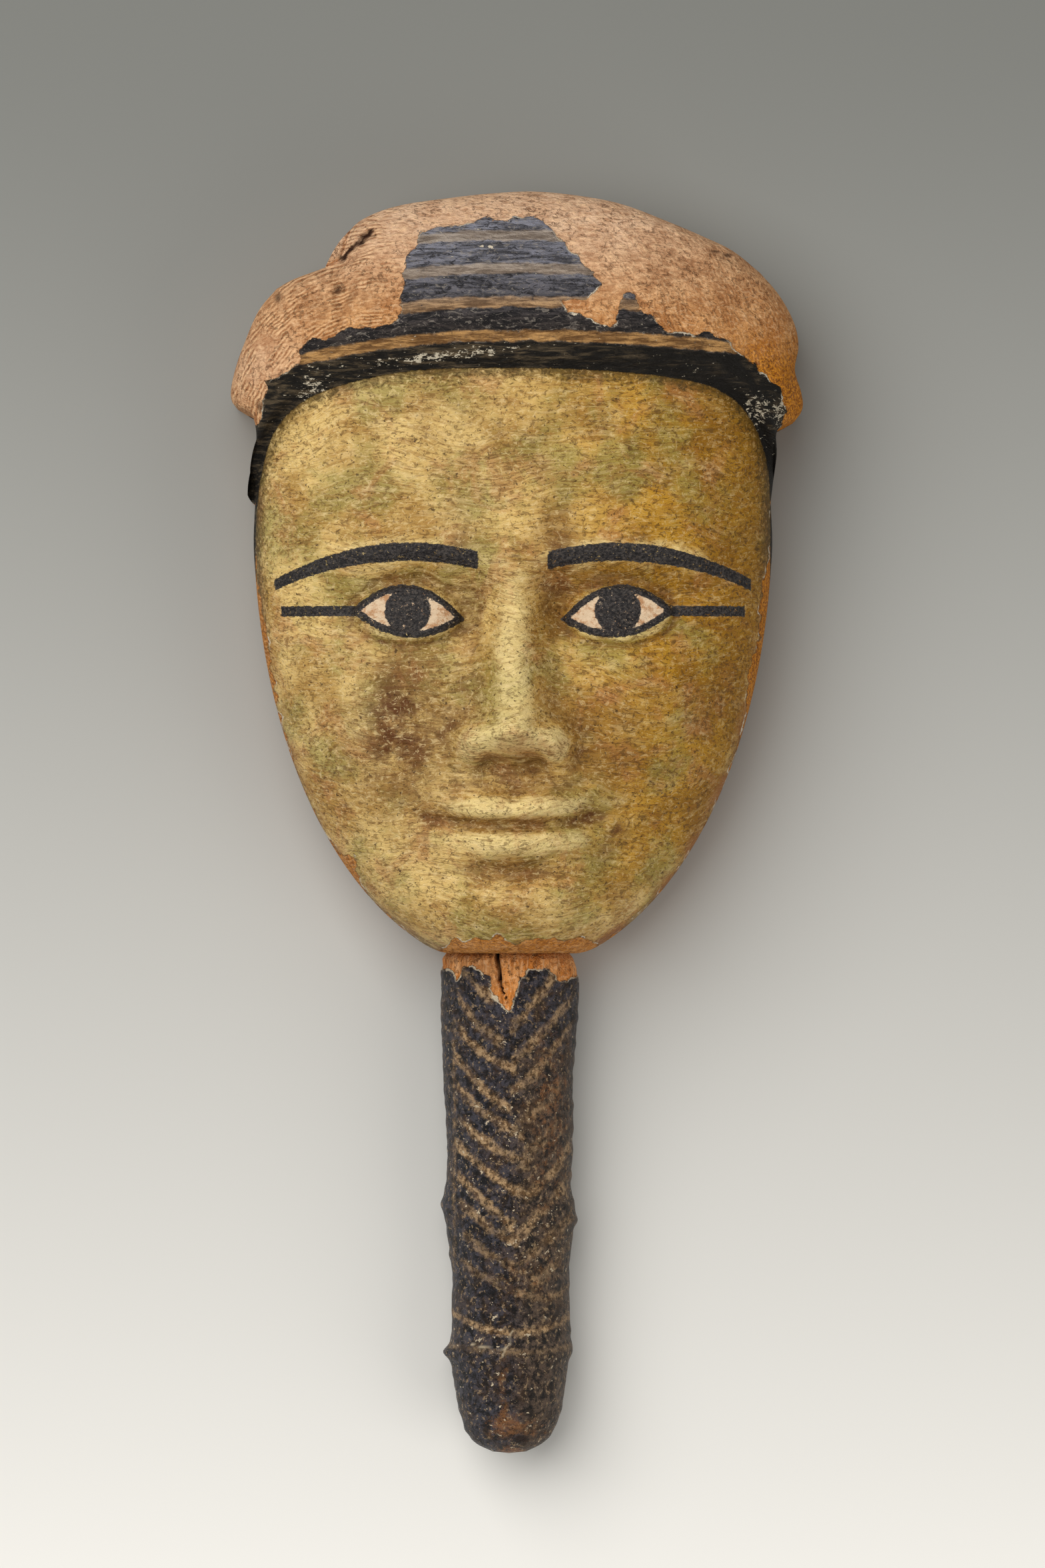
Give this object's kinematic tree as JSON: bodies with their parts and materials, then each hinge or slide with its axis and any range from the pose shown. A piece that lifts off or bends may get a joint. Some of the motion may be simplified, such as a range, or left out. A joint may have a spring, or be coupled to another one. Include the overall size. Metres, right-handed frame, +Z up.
{
  "type": "mummy mask",
  "caption": "Carved and painted wooden mummy mask with a striped wig cap, and its separate plaited false beard, both lying face up on flat backs.",
  "frame": {"origin": "on the surface that the flat backs lie on, under the middle of the whole", "axes": "+Z up, out of the face; +Y from the beard's tip to the crown of the wig; +X to the right, looking down on the face"},
  "size_m": [0.2104, 0.4654, 0.0992],
  "materials": {
    "mask_painted_wood": "aged distemper paint over gesso, worn to bare wood on the wig",
    "beard_painted_wood": "aged dark paint with tan strokes, worn to bare wood at the top"
  },
  "bodies": {
    "root": {"mask": "mask_painted_wood", "beard": "beard_painted_wood"}
  },
  "joints": []
}
